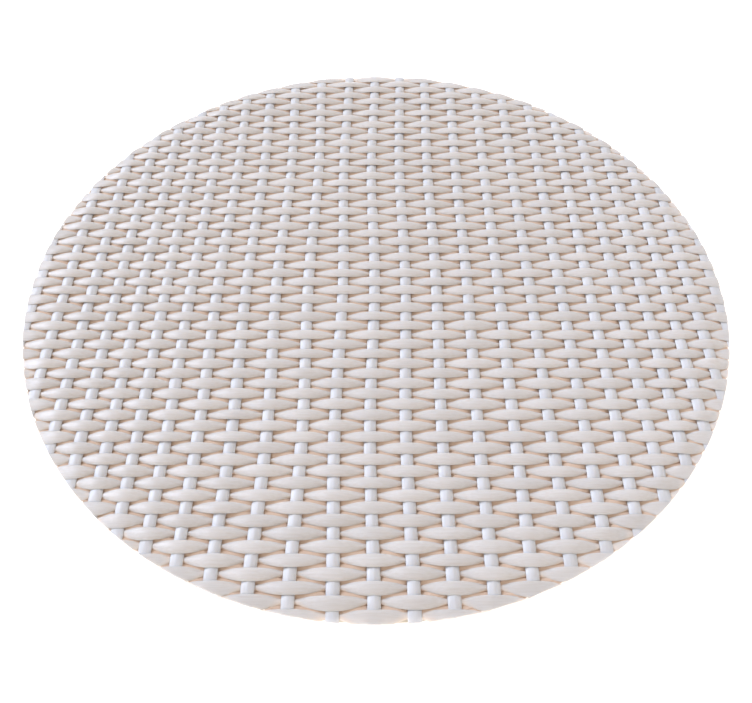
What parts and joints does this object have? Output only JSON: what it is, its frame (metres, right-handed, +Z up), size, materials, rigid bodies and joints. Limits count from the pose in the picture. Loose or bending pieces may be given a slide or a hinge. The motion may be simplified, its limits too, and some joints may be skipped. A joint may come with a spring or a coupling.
{
  "type": "chair seat pad",
  "caption": "Round flat seat pad: a white woven resin-cane panel on a backing cloth, a thin foam core and a non-slip base.",
  "frame": {"origin": "middle of the flat underside", "axes": "+Z up out of the seat face; +X to the right along the weavers; +Y away from the viewer along the stakes"},
  "size_m": [0.4, 0.4, 0.0119],
  "materials": {
    "resin_cane": "satin, fine lengthwise grain",
    "scrim_cloth": "plain woven, matte",
    "foam": "fine open-cell foam",
    "grip_sheet": "matte, dotted"
  },
  "bodies": {
    "root": {"grip_base": "grip_sheet", "foam_core": "foam", "backing_cloth": "scrim_cloth", "stake_01": "resin_cane", "stake_02": "resin_cane", "stake_03": "resin_cane", "stake_04": "resin_cane", "stake_05": "resin_cane", "stake_06": "resin_cane", "stake_07": "resin_cane", "stake_08": "resin_cane", "stake_09": "resin_cane", "stake_10": "resin_cane", "stake_11": "resin_cane", "stake_12": "resin_cane", "stake_13": "resin_cane", "stake_14": "resin_cane", "stake_15": "resin_cane", "stake_16": "resin_cane", "stake_17": "resin_cane", "stake_18": "resin_cane", "stake_19": "resin_cane", "stake_20": "resin_cane", "stake_21": "resin_cane", "stake_22": "resin_cane", "stake_23": "resin_cane", "stake_24": "resin_cane", "stake_25": "resin_cane", "weaver_centre": "resin_cane", "weaver_pair_01": "resin_cane", "weaver_pair_02": "resin_cane", "weaver_pair_03": "resin_cane", "weaver_pair_04": "resin_cane", "weaver_pair_05": "resin_cane", "weaver_pair_06": "resin_cane", "weaver_pair_07": "resin_cane", "weaver_pair_08": "resin_cane", "weaver_pair_09": "resin_cane", "weaver_pair_10": "resin_cane", "weaver_pair_11": "resin_cane", "weaver_pair_12": "resin_cane", "weaver_pair_13": "resin_cane", "weaver_pair_14": "resin_cane", "weaver_pair_15": "resin_cane", "weaver_pair_16": "resin_cane", "weaver_pair_17": "resin_cane", "weaver_pair_18": "resin_cane", "weaver_pair_19": "resin_cane", "weaver_pair_20": "resin_cane", "weaver_pair_21": "resin_cane", "weaver_pair_22": "resin_cane", "weaver_pair_23": "resin_cane", "weaver_pair_24": "resin_cane", "weaver_pair_25": "resin_cane", "weaver_pair_26": "resin_cane", "weaver_pair_27": "resin_cane", "weaver_pair_28": "resin_cane", "weaver_pair_29": "resin_cane", "weaver_pair_30": "resin_cane"}
  },
  "joints": []
}
